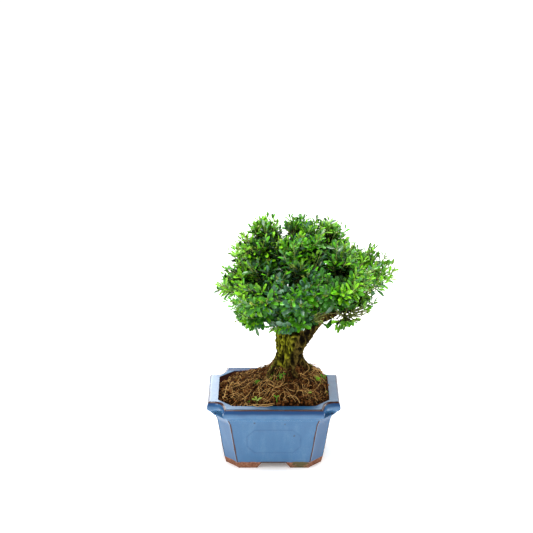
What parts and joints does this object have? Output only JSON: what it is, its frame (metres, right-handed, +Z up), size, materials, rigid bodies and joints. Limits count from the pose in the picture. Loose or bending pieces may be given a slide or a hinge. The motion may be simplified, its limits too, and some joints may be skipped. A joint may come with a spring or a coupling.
{
  "type": "potted boxwood",
  "caption": "Small boxwood tree trained as a bonsai, with a forked trunk and a dense leafy top, in a glazed rectangular footed pot.",
  "frame": {"origin": "bottom centre of the whole plant's box, on the plane that the pot's feet stand on", "axes": "+Z up, +X along the pot's long side to the right seen from the front, +Y from the front of the pot to the back"},
  "size_m": [0.2058, 0.1516, 0.2805],
  "materials": {
    "glaze": "gloss",
    "soil": "matte",
    "bark": "matte",
    "leaf": "satin"
  },
  "bodies": {
    "root": {"bough_back_left": "bark", "bough_back_right": "bark", "bough_front": "bark", "bough_front_left": "bark", "bough_front_right": "bark", "bough_left": "bark", "bough_low_back": "bark", "bough_low_front": "bark", "bough_low_left": "bark", "bough_low_right": "bark", "bough_top": "bark", "bough_top_right": "bark", "foliage_back": "leaf", "foliage_back_left": "leaf", "foliage_back_right": "leaf", "foliage_front": "leaf", "foliage_front_left": "leaf", "foliage_front_right": "leaf", "foliage_left": "leaf", "foliage_low_back": "leaf", "foliage_low_front": "leaf", "foliage_low_left": "leaf", "foliage_low_right": "leaf", "foliage_right": "leaf", "foliage_top": "leaf", "foliage_top_left": "leaf", "foliage_top_right": "leaf", "limb_back": "bark", "limb_left": "bark", "limb_right": "bark", "pot": "glaze", "root_ball": "soil", "trunk": "bark"}
  },
  "joints": []
}
